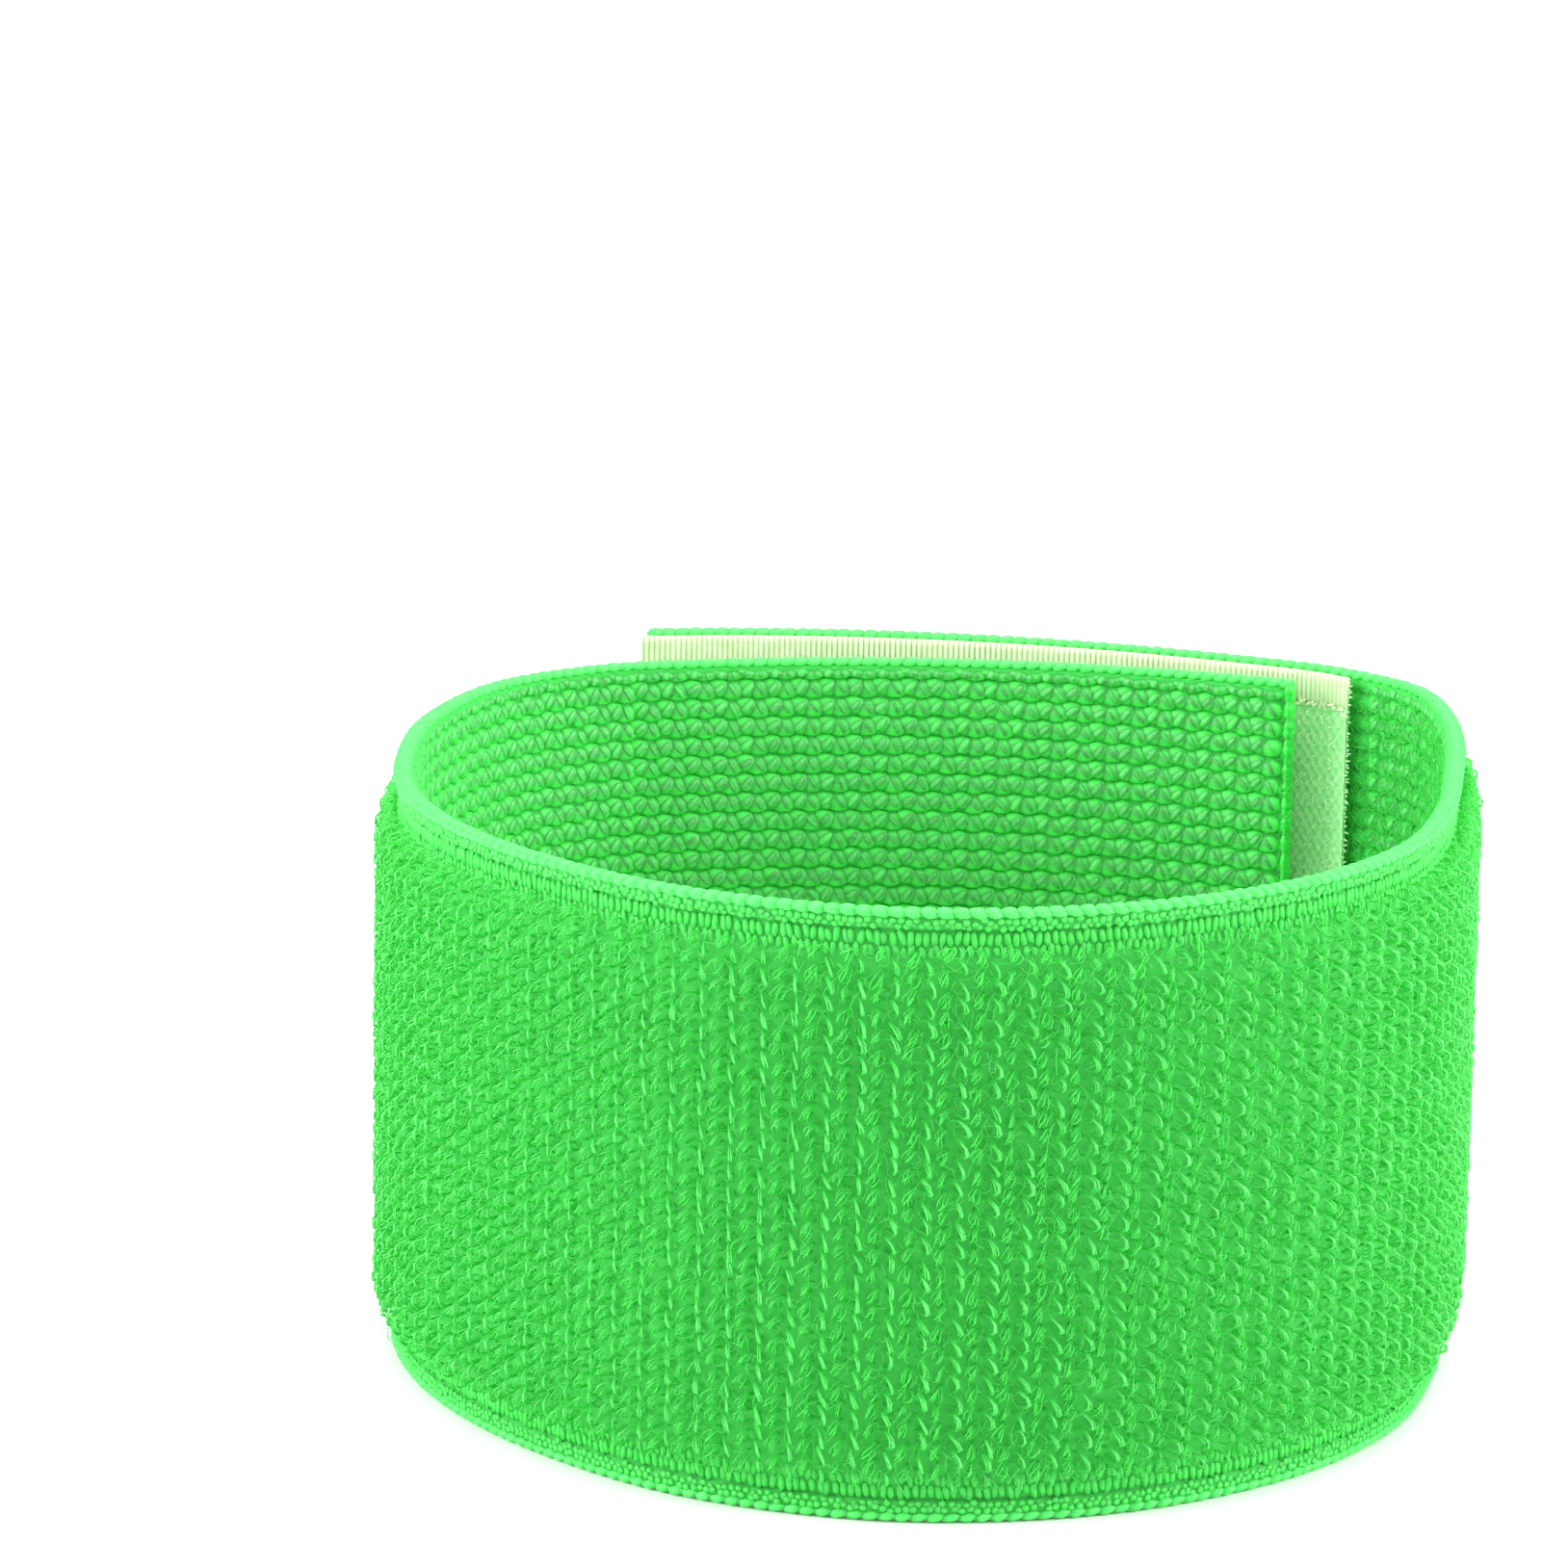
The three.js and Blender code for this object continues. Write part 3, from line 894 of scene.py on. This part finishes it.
def loops(start, end):
    """The loops over one span of the strap."""
    s = courses_in(max(start, 2.0 * MM), min(end, STRAP_LENGTH - 2.0 * MM))
    number = np.round(s / COURSE - 0.5).astype(int)
    rows = PILE_MARGIN + (np.arange(PILE_ROWS) + 0.5) * PILE_PITCH
    s, rows = np.meshgrid(s, rows, indexing="ij")
    rows = rows + np.where(number % 2 == 0, TIGHT_SHIFT, SLACK_SHIFT)[:, None] * PILE_PITCH
    tight = np.broadcast_to((number % 2 == 0)[:, None], s.shape).ravel()
    s, rows = s.ravel(), rows.ravel()
    count = len(s)
    s = s + jitter(count, 0.06 * MM)
    rows = rows + jitter(count, 0.09 * MM)
    size = np.where(tight, 1.0, SLACK_SIZE) * (1 + jitter(count, 0.035))
    size *= np.where(np.abs(rows - STRAP_WIDTH / 2) > STRAP_WIDTH / 2 - EDGE_LOOPS, EDGE_SIZE, 1)
    slant = np.where(tight, TIGHT_SLANT, SLACK_SLANT) + jitter(count, 0.10)
    droop = DROOP + jitter(count, 0.10)
    nap = np.where(tight, NAP, SLACK_NAP) + jitter(count, 0.07)
    pressed = PRESSED + (1 - PRESSED) * np.clip((s - PRESS_START) / (PRESS_END - PRESS_START), 0, 1)

    loose = each(np.where(tight, 1.0, SLACK_SPREAD))
    shape = (count, FILAMENTS, 1)
    phase = np.linspace(-FOOT, FOOT, LOOP_STEPS)[None, None]
    turned = (np.arange(FILAMENTS) * 2 * math.pi / FILAMENTS)[None, :, None] + TWIST * phase / math.pi
    bunch = 0.035 + 0.065 * np.exp(-(phase / 0.7) ** 2)
    gap = bunch * MM * loose * (1 + 0.35 * chance.standard_normal(shape))
    slant = each(slant) + jitter(shape, 0.05) * loose
    radius = each(size) * (1 + jitter(shape, 0.025) * loose)
    aside = gap * np.sin(turned) + jitter(shape, 0.03 * MM) * loose * (1 + np.cos(phase))
    out = each(size) * -math.cos(FOOT) + radius * np.cos(phase)
    out = (out * LOOP_REACH + gap * np.cos(turned)) * each(pressed)
    rise = radius * LOOP_HALF * np.sin(phase) + gap * np.cos(turned) * np.sin(phase)
    z = each(rows) + rise * np.cos(slant) - aside * np.sin(slant) + out * each(droop)
    x = each(s) + rise * np.sin(slant) + aside * np.cos(slant) + (out - LOOP_REACH) * each(nap)
    paths = place(x, OUTER_FACE - 0.12 * MM + out, z).reshape(-1, LOOP_STEPS, 3)
    foot, crown = paths[:, 0], paths[:, LOOP_STEPS // 2]
    side = unit(np.cross(paths[:, -1] - foot, crown - foot))
    # Painted light: painted shade at a loop's foot rising to painted light at its crown, stronger on
    # the tight loops, whose crowns get the painted glints.
    lit = 0.25 + each(np.where(tight, 0.75, 0.45)) * np.clip(out / (2 * LOOP_REACH), 0, 1) ** 1.5
    painted_light = lit.reshape(-1, LOOP_STEPS)
    return tubes(paths, side, FILAMENT * (1 + jitter((len(paths), 1), 0.12)), 4, painted_light)


PILE_PARTS = 10
pile_end = hinge_at[0] - STRETCH / 2
for part, (first, last) in in_parts(0, pile_end, PILE_PARTS):
    piece = new_piece(f"loop_pile_ring_{part}", loops(first, last), pile_yarn)
    fasten(piece, 0, ["loop_pile_ring"] if part == 1 else [])
for span, (name, start, end) in enumerate(SPANS[1:], start=1):
    piece = new_piece(f"loop_pile_{name}", loops(start, end), pile_yarn)
    fasten(piece, span, [f"loop_pile_{name}"])

# %% [markdown]
# Between the loops lie loose filaments, pulled out of them by wear or by brushing. They fill the
# gaps, so that no bare ground shows. Short arcs of one filament each are strewn over the face.
# A thin strip of the same fibre hides each line where two stretches of the strap meet. The last
# stretch of the inner face, by the tape, is brushed as well, and buries its ribs.

# %% Loose fibre
FIBRE = 0.034 * MM
FIBRE_STEPS = 4
PILE_UP = (PILE_MARGIN - 0.4 * MM, STRAP_WIDTH - PILE_MARGIN + 0.4 * MM)
SEAM_HALF = 0.4 * MM         # either side of where two pieces of the strap meet


def loose_fibre(span_along, span_up, density, face, stands, length, lean=0.0, spread=3.0):
    """Short curved filaments, so many to a square millimetre.

    face is the outset they start from and stands how far they reach; lean is the direction
    they tend to lie in, in radians from the strap's own, and spread how loosely they keep it."""
    (start, end), (low, high) = span_along, span_up
    count = round((end - start) * (high - low) / MM ** 2 * density)
    s = chance.uniform(start, end, (count, 1))
    z = chance.uniform(low, high, (count, 1))
    way = lean + spread * chance.uniform(-0.5, 0.5, (count, 1)) * 2
    curl = chance.normal(0, 1.0, (count, 1))
    reach = length * chance.uniform(0.5, 1.4, (count, 1))
    t = np.linspace(0, 1, FIBRE_STEPS)[None]
    angle = way + curl * (t - 0.5)
    top = stands * chance.uniform(0.25, 1.0, (count, 1))
    out = face + top * (0.25 + 0.75 * np.sin(math.pi * (0.1 + 0.8 * t)))
    paths = place(s + reach * (t - 0.5) * np.cos(angle), out, z + reach * (t - 0.5) * np.sin(angle))
    side = unit(np.cross(paths[:, -1] - paths[:, 0], paths[:, 2] - paths[:, 0]))
    thick = FIBRE * (1 + jitter((count, 1), 0.2))
    return tubes(paths, side, thick, 3, 0.65 + jitter((count, 1), 0.15))


def pile_fibre(start, end):
    """Loose fibre for one stretch of pile: short bits, and longer ones that lean."""
    start, end = max(start, 2.0 * MM), min(end, STRAP_LENGTH - 2.0 * MM)
    return joined([
        loose_fibre((start, end), PILE_UP, 1.2, OUTER_FACE, 1.1 * MM, 1.1 * MM),
        loose_fibre((start, end), PILE_UP, 0.35, OUTER_FACE + 0.3 * MM, 1.25 * MM, 2.1 * MM,
                    1.25, 0.35)])


FIBRE_PARTS = 3
for part, (first, last) in in_parts(0, pile_end, FIBRE_PARTS):
    piece = new_piece(f"pile_fibre_ring_{part}", pile_fibre(first, last), pile_yarn)
    fasten(piece, 0)
for span, (name, start, end) in enumerate(SPANS[1:], start=1):
    at_seam = loose_fibre((start - SEAM_HALF, start + SEAM_HALF), PILE_UP, 9.0, OUTER_FACE, 0.7 * MM,
                          0.9 * MM, 1.4, 0.6)
    fasten(new_piece(f"pile_fibre_{name}", joined([pile_fibre(start, end), at_seam]), pile_yarn),
           span)

INNER_UP = (1.5 * MM, STRAP_WIDTH - 1.5 * MM)
FUZZY_FROM = hinge_at[0] - 57 * MM   # past here brushed fibre lies over the ribs
FLUFF_PARTS = 3


def inner_fluff(name, span, start, end):
    """Brushed fibre over one stretch of ribs, in two lengths."""
    fluff = joined([
        loose_fibre((start, end), INNER_UP, 4.2, RIDGE, -0.5 * MM, 1.1 * MM),
        loose_fibre((start, end), INNER_UP, 1.4, RIDGE, -0.55 * MM, 0.7 * MM)])
    fasten(new_piece(name, fluff, pile_yarn), span)


for part, (first, last) in in_parts(FUZZY_FROM, pile_end, FLUFF_PARTS):
    inner_fluff(f"inner_fluff_ring_{part}", 0, first, last)
inner_fluff("inner_fluff_flap_1", 1, pile_end, hinge_at[0] + 1.5 * MM)

# %% [markdown]
# ## The sealed ends
#
# A hot knife cuts this strap. It melts the yarn into a hard bead along the cut and leaves a
# crushed groove beside it. The bead is a tube up the strap's width, uneven where each rib
# was pressed.

# %% Sealed ends
def sealed_end(name, at, body, node):
    """The hard bead along one cut end, which takes the place of a CAD node."""
    around = 14
    z = np.linspace(0.4 * MM, STRAP_WIDTH - 0.4 * MM, 300)[:, None]
    turn = (np.arange(around) * 2 * math.pi / around)[None]
    rib = np.abs(np.sin((z - FACE_MARGIN) / WALE * math.pi))
    rough = jitter((len(z), 1), 0.05) + 0.05 * np.sin(z / MM * 3.1) + 0.04 * np.sin(z / MM * 7.7)
    thick = 0.85 * MM * (0.84 + 0.2 * rib + rough)
    wide = 0.38 * MM * (0.9 + 0.2 * rib + rough)

    def squared(v):
        return np.sign(v) * np.abs(v) ** 0.8

    ring = place(at + wide * squared(np.cos(turn)), thick * squared(np.sin(turn)) - 0.1 * MM,
                 z + 0.05 * MM * np.sin(3 * turn))
    # Painted light on the bead's thicker lumps, painted shade in its thinner dips.
    piece = swept_piece(name, ring, sealed_yarn, 0.5 + 2 * rough)
    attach(piece, body)
    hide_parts(node)


sealed_end("inner_end_bead", 0.4 * MM, "ring", "inner_end_seal")
sealed_end("outer_end_bead", STRAP_LENGTH - 0.4 * MM, FLAP_BODIES[-1], "outer_end_seal")
singed = loose_fibre((-0.1 * MM, 0.9 * MM), INNER_UP, 7.0, -0.7 * MM, -0.35 * MM, 0.6 * MM)
singed = new_piece("inner_end_fuzz", singed, sealed_yarn)
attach(singed, "ring")

# %% [markdown]
# ## The hook tape
#
# The tape is woven: fine upright ribs along its top and bottom edges, and between them a field
# of stiff hooks. It starts just past the first hinge line and runs a little past the flap's
# free end. The hooks are single stiff filaments that rise, turn over and end in mid air.

# %% Woven base of the hook tape
TAPE_FROM = hinge_at[0] + 0.6 * MM
TAPE_TO = STRAP_LENGTH + 0.9 * MM
TAPE_LOW, TAPE_HIGH = 0.42 * MM, STRAP_WIDTH - 0.42 * MM
TAPE_FACE = -1.85 * MM       # outset of the face that carries the hooks
TAPE_BACK = -1.6 * MM
WOVEN_EDGE = 3.0 * MM
TAPE_RIB = 0.5 * MM
TAPE_WEFT = 0.66 * MM


def tape_span(span):
    """Where one stretch of the tape starts and ends."""
    _, start, end = SPANS[span]
    return max(start - OVERLAP, TAPE_FROM), (TAPE_TO if span == FLAPS else end + OVERLAP)


def woven_relief(s, z):
    """How far the field's threads stand up, 0 to 1: a plain weave."""
    over = np.sin(math.pi * s / TAPE_RIB) * np.sin(math.pi * z / TAPE_WEFT)
    return 0.5 + 0.5 * over


def tape_sheet(name, span, low, high, woven, material):
    """A closed strip of tape between two heights, ribbed upright or woven."""
    start, end = tape_span(span)
    s = evenly(start, end, TAPE_RIB / 4)[:, None]
    up = evenly(low, high, TAPE_WEFT / 4 if woven else 0.5 * MM)
    ribbed = np.abs(np.sin(math.pi * s / TAPE_RIB)) + 0 * up[None]
    relief = woven_relief(s, up[None]) if woven else ribbed
    inner = TAPE_FACE - 0.16 * MM * (relief - 0.4)
    # Painted shade where the threads dip, painted light where they stand up.
    painted_light = np.concatenate([relief, relief[:, :2]], axis=1)
    outset = np.concatenate([inner, np.full_like(inner[:, :2], TAPE_BACK)], axis=1)
    height = np.broadcast_to(np.concatenate([up, [high, low]])[None], outset.shape)
    return swept_piece(name, place(s, outset, height), material, painted_light)


tapes = []
for span in range(1, len(SPANS)):
    name = SPANS[span][0]
    for which, low in (("upper", TAPE_HIGH - WOVEN_EDGE), ("lower", TAPE_LOW)):
        edge = tape_sheet(f"tape_{which}_edge_{name}", span, low, low + WOVEN_EDGE, False, tape_edge)
        fasten(edge, span)
    field = tape_sheet(f"tape_field_{name}", span, TAPE_LOW + WOVEN_EDGE, TAPE_HIGH - WOVEN_EDGE,
                       True, tape_field)
    fasten(field, span, [f"hook_tape_{span}"])
    tapes.append(field)

# %% [markdown]
# Where the hooks' field meets its woven edges, cut weft threads end in a rough line. The tape
# was cut across with scissors at both ends, and there its long threads fray.

# %% Rough lines on the tape
FRINGE_PITCH = 0.42 * MM


def tape_fringe(span):
    """Cut weft ends along both sides of the hooks' field."""
    start, end = tape_span(span)
    rows = []
    for height in (TAPE_HIGH - WOVEN_EDGE, TAPE_LOW + WOVEN_EDGE):
        s = np.arange(start + 0.3 * MM, end - 0.3 * MM, FRINGE_PITCH)
        rows.append(lobes(
            s + jitter(s.shape, 0.12 * MM), height + jitter(s.shape, 0.14 * MM),
            TAPE_FACE, 0.8 * MM * (1 + jitter(s.shape, 0.2)),
            0.42 * MM * (1 + jitter(s.shape, 0.2)), -0.34 * MM * (1 + jitter(s.shape, 0.2)),
            jitter(s.shape, 0.8), painted_tones=(0.4, 1.0)))
    fringe = new_piece(f"tape_fringe_{SPANS[span][0]}", joined(rows), tape_edge)
    fasten(fringe, span)


def frayed_end(name, at, way, span):
    """Thread ends that stick out of a cut, towards way along the strap."""
    z = np.arange(TAPE_LOW + 0.2 * MM, TAPE_HIGH - 0.2 * MM, TAPE_WEFT / 2)[:, None]
    z = z + jitter(z.shape, 0.06 * MM)
    reach = 0.38 * MM * chance.uniform(0.1, 1.3, z.shape) * np.linspace(-0.6, 1, 5)[None]
    paths = place(at + way * reach, TAPE_FACE + 0.1 * MM + jitter(z.shape, 0.05 * MM),
                  z + jitter(z.shape, 0.25) * reach)
    upright = np.broadcast_to((0.0, 0.0, 1.0), (len(z), 3))
    threads = new_piece(name, tubes(paths, upright, 0.07 * MM, 5, 0.9), hook_nylon)
    fasten(threads, span)


for span in range(1, len(SPANS)):
    tape_fringe(span)
frayed_end("tape_fray_root", TAPE_FROM, -1, 1)
frayed_end("tape_fray_tip", TAPE_TO, 1, FLAPS)

# %% [markdown]
# The tape isn't sewn: no stitch shows on the outside of the flap. A hot-melt film between the
# two holds it, thick enough to sink into the ribs.

# %% Bond film
FILM_INSET = 1.0 * MM        # it stops this far inside the tape's edges
FILM_FACE, FILM_BACK = -1.58 * MM, -0.8 * MM
FILM_LOW, FILM_HIGH = TAPE_LOW + FILM_INSET, TAPE_HIGH - FILM_INSET


def film_span(span):
    """Where one stretch of the film starts and ends: just inside the tape's."""
    start, end = tape_span(span)
    return (start + FILM_INSET if span == 1 else start,
            STRAP_LENGTH - FILM_INSET if span == FLAPS else end)


films = []
for span in range(1, len(SPANS)):
    name = SPANS[span][0]
    start, end = film_span(span)
    s = evenly(start, end, BODY_STEP)[:, None]
    outset = np.array([[FILM_FACE, FILM_FACE, FILM_BACK, FILM_BACK]])
    height = np.array([[FILM_LOW, FILM_HIGH, FILM_HIGH, FILM_LOW]])
    film = swept_piece(f"bond_film_{name}", place(s, outset, height), film_glue, 0.5)
    fasten(film, span, [f"bond_film_{span}"])
    films.append(film)

# %% Hooks
HOOK_PITCH_ALONG = 0.9 * MM
HOOK_PITCH_UP = 0.95 * MM
HOOK_HEIGHT = 0.8 * MM
HOOK_RADIUS = 0.055 * MM
HOOK_CROOK = 0.22 * MM       # radius of the turned end
HOOK_STEM = 0.35             # share of the filament that stands straight
HOOK_TURN = math.radians(215)


def hooks(span):
    """The hooks of one stretch of the tape, in rows that turn over up and down in turn."""
    start, end = tape_span(span)
    start = start + 0.3 * MM
    s = np.arange(start + HOOK_PITCH_ALONG / 2, end - 0.2 * MM, HOOK_PITCH_ALONG)
    z = np.arange(TAPE_LOW + WOVEN_EDGE + 0.5 * MM, TAPE_HIGH - WOVEN_EDGE - 0.3 * MM,
                  HOOK_PITCH_UP)
    s, z = np.meshgrid(s, z, indexing="ij")
    row = np.broadcast_to(np.arange(s.shape[1]) % 2, s.shape).ravel()
    s, z = s.ravel(), z.ravel()
    count = len(s)
    s, z = s + jitter(count, 0.1 * MM), z + jitter(count, 0.1 * MM)
    bend = np.linspace(0, 1, 9)[None]
    tall = HOOK_HEIGHT * (1 + jitter((count, 1), 0.08))
    way = np.where(row, 1, -1)[:, None] * (1 + jitter((count, 1), 0.15))
    turned = np.clip((bend - HOOK_STEM) / (1 - HOOK_STEM), 0, 1) * HOOK_TURN
    out = np.minimum(bend / HOOK_STEM, 1) * (tall - HOOK_CROOK) + HOOK_CROOK * np.sin(turned)
    over = way * HOOK_CROOK * (1 - np.cos(turned))
    twist = jitter((count, 1), 0.5)
    paths = place(s[:, None] + over * np.sin(twist), TAPE_FACE - out,
                  z[:, None] + over * np.cos(twist))
    side = unit(np.cross(paths[:, -1] - paths[:, 0], paths[:, 4] - paths[:, 0]))
    filaments = tubes(paths, side, HOOK_RADIUS, 4, 1.0)
    piece = new_piece(f"hooks_{SPANS[span][0]}", filaments, hook_nylon)
    fasten(piece, span, [f"hook_field_{span}"])


for span in range(1, len(SPANS)):
    hooks(span)

# %% [markdown]
# ## Cloth facts
#
# The strap's body and the tape are sheets of fabric. The loops below step through their pieces and
# work out the length of each, but keep nothing.

# %% Sheets
for body, (name, start, end) in zip(bodies, SPANS):
    end - start
    "folded" if name == "ring" else "laid"
for span in range(2, len(SPANS)):
    for sheets, (start, end), width in (
            (tapes, tape_span(span), TAPE_HIGH - TAPE_LOW - 2 * WOVEN_EDGE),
            (films, film_span(span), FILM_HIGH - FILM_LOW)):
        sheets[span - 1]
        end - start
        sheets[:1] if span == 2 else ()

# %% [markdown]
# ## Floor and light
#
# A plain whitish floor, soft boxes on both sides, a small one in front and a big one overhead: the
# band's two sides are brighter than its front, which is how the rounded shape reads.

# %% Studio
def plain_material(name, colour, roughness):
    """One even colour, for the floor."""
    material = bpy.data.materials.new(name)
    material.use_nodes = True
    shader = material.node_tree.nodes["Principled BSDF"]
    shader.inputs["Base Color"].default_value = colour
    shader.inputs["Roughness"].default_value = roughness
    return material


def soft_box(name, place_at, aim_at, size, power):
    """A square lamp of this many metres and watts."""
    data = bpy.data.lights.new(name, "AREA")
    data.shape = "SQUARE"
    data.size = size
    data.energy = power
    light = bpy.data.objects.new(name, data)
    light.location = place_at
    light.rotation_euler = (Vector(aim_at) - Vector(place_at)).to_track_quat("-Z", "Y").to_euler()
    bpy.context.scene.collection.objects.link(light)


mesh = bpy.data.meshes.new("floor")
mesh.from_pydata([(-3, -3, 0), (3, -3, 0), (3, 3, 0), (-3, 3, 0)], [], [(0, 1, 2, 3)])
floor = bpy.data.objects.new("floor", mesh)
floor.data.materials.append(plain_material("paper", (0.9, 0.9, 0.9, 1), 0.9))
bpy.context.scene.collection.objects.link(floor)

AT_BAND = (0, 0, 0.03)
soft_box("left_box", (-0.75, -0.2, 0.3), AT_BAND, 0.5, 7.4)
soft_box("right_box", (0.75, -0.15, 0.3), AT_BAND, 0.5, 6.8)
soft_box("front_box", (0.1, -0.95, 0.3), AT_BAND, 0.2, 1.2)
soft_box("top_box", (0, 0.5, 1.6), (0, 0.5, 0), 2.4, 42)
world = bpy.data.worlds.new("studio")
world.use_nodes = True
sky = world.node_tree.nodes["Background"]
sky.inputs["Color"].default_value = (1, 1, 1, 1)
sky.inputs["Strength"].default_value = 0.58
bpy.context.scene.world = world
bpy.context.scene.view_settings.view_transform = "Standard"
